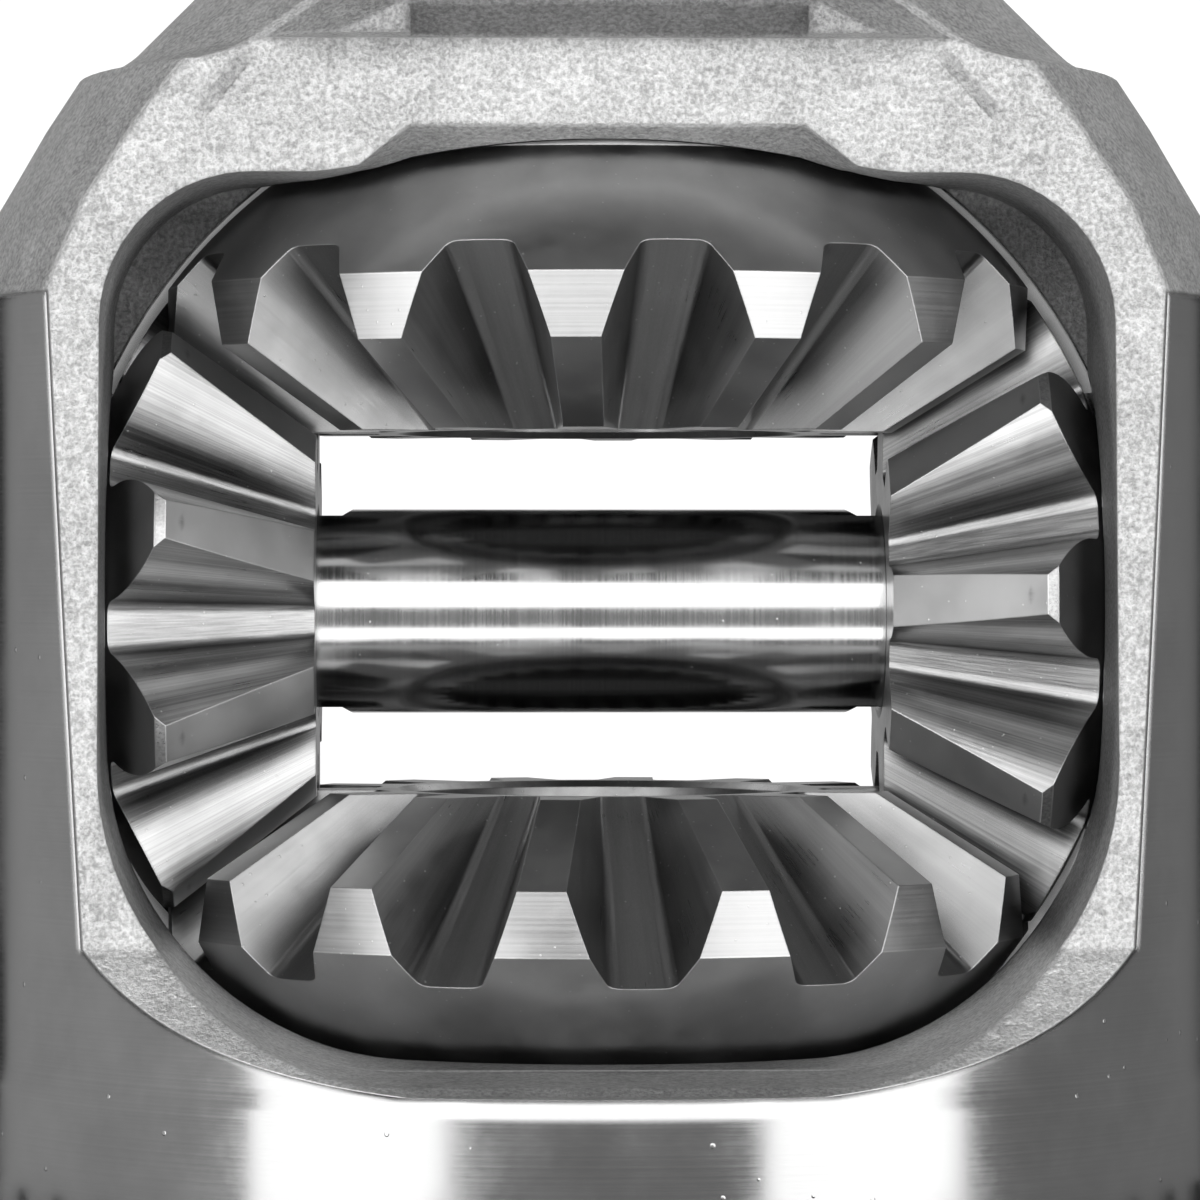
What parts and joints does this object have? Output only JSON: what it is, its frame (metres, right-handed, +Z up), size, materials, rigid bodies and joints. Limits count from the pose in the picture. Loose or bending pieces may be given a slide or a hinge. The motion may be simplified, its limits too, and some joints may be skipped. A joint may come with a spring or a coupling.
{
  "type": "differential gear assembly",
  "caption": "Open bevel gear differential: windowed cast case with meshing side gears and pinions on a cross pin, a ring gear and tapered carrier bearings.",
  "frame": {"origin": "centre of the lower hub's end face, on the axle axis", "axes": "+Z up along the axle axis from the ring gear side, +X along the cross pin, -Y out of the front window"},
  "size_m": [0.2166, 0.2166, 0.2145],
  "materials": {
    "cast_iron_case": "sand-cast skin with machined bearing, pilot and body surfaces",
    "gear_steel": "dark satin forged and machined steel",
    "ground_steel": "ground and polished",
    "spring_steel": "dark rolled spring steel",
    "washer_steel": "satin hardened strip",
    "ring_gear_steel": "dark lapped steel",
    "bolt_steel": "black oxide",
    "bearing_steel": "ground bearing steel",
    "cage_steel": "pressed sheet steel"
  },
  "bodies": {
    "case": {"differential_case": "cast_iron_case", "cross_pin": "ground_steel", "cross_pin_lock_pin": "spring_steel", "upper_side_gear_thrust_washer": "washer_steel", "lower_side_gear_thrust_washer": "washer_steel", "left_pinion_thrust_washer": "washer_steel", "right_pinion_thrust_washer": "washer_steel", "ring_gear": "ring_gear_steel", "ring_gear_bolts": "bolt_steel", "upper_bearing_shim": "washer_steel", "upper_bearing_cone": "bearing_steel", "lower_bearing_shim": "washer_steel", "lower_bearing_cone": "bearing_steel"},
    "upper_side_gear": {"upper_side_gear": "gear_steel"},
    "lower_side_gear": {"lower_side_gear": "gear_steel"},
    "left_pinion_gear": {"left_pinion_gear": "gear_steel"},
    "right_pinion_gear": {"right_pinion_gear": "gear_steel"},
    "upper_bearing_cup": {"upper_bearing_cup": "bearing_steel"},
    "lower_bearing_cup": {"lower_bearing_cup": "bearing_steel"},
    "upper_roller_set": {"upper_bearing_rollers": "bearing_steel", "upper_bearing_cage": "cage_steel"},
    "lower_roller_set": {"lower_bearing_rollers": "bearing_steel", "lower_bearing_cage": "cage_steel"}
  },
  "joints": [
    {"name": "upper_side_gear_spin", "type": "hinge", "parent": "case", "child": "upper_side_gear", "pos_m": [0, 0, 0.124], "axis": [0, 0, 1], "continuous": true},
    {"name": "lower_side_gear_spin", "type": "hinge", "parent": "case", "child": "lower_side_gear", "pos_m": [0, 0, 0.124], "axis": [0, 0, 1], "continuous": true},
    {"name": "left_pinion_spin", "type": "hinge", "parent": "case", "child": "left_pinion_gear", "pos_m": [0, 0, 0.124], "axis": [1, 0, 0], "continuous": true},
    {"name": "right_pinion_spin", "type": "hinge", "parent": "case", "child": "right_pinion_gear", "pos_m": [0, 0, 0.124], "axis": [1, 0, 0], "continuous": true},
    {"name": "upper_cup_spin", "type": "hinge", "parent": "case", "child": "upper_bearing_cup", "pos_m": [0, 0, 0.203], "axis": [0, 0, 1], "continuous": true},
    {"name": "lower_cup_spin", "type": "hinge", "parent": "case", "child": "lower_bearing_cup", "pos_m": [0, 0, 0.0115], "axis": [0, 0, 1], "continuous": true},
    {"name": "upper_roller_set_spin", "type": "hinge", "parent": "case", "child": "upper_roller_set", "pos_m": [0, 0, 0.203], "axis": [0, 0, 1], "continuous": true},
    {"name": "lower_roller_set_spin", "type": "hinge", "parent": "case", "child": "lower_roller_set", "pos_m": [0, 0, 0.0115], "axis": [0, 0, 1], "continuous": true}
  ],
  "couplings": [
    {"joint": "lower_side_gear_spin", "follows": "upper_side_gear_spin", "ratio": -1},
    {"joint": "left_pinion_spin", "follows": "upper_side_gear_spin", "ratio": 1.5556},
    {"joint": "right_pinion_spin", "follows": "upper_side_gear_spin", "ratio": -1.5556},
    {"joint": "lower_cup_spin", "follows": "upper_cup_spin", "ratio": 1},
    {"joint": "upper_roller_set_spin", "follows": "upper_cup_spin", "ratio": 0.566},
    {"joint": "lower_roller_set_spin", "follows": "upper_cup_spin", "ratio": 0.566}
  ]
}
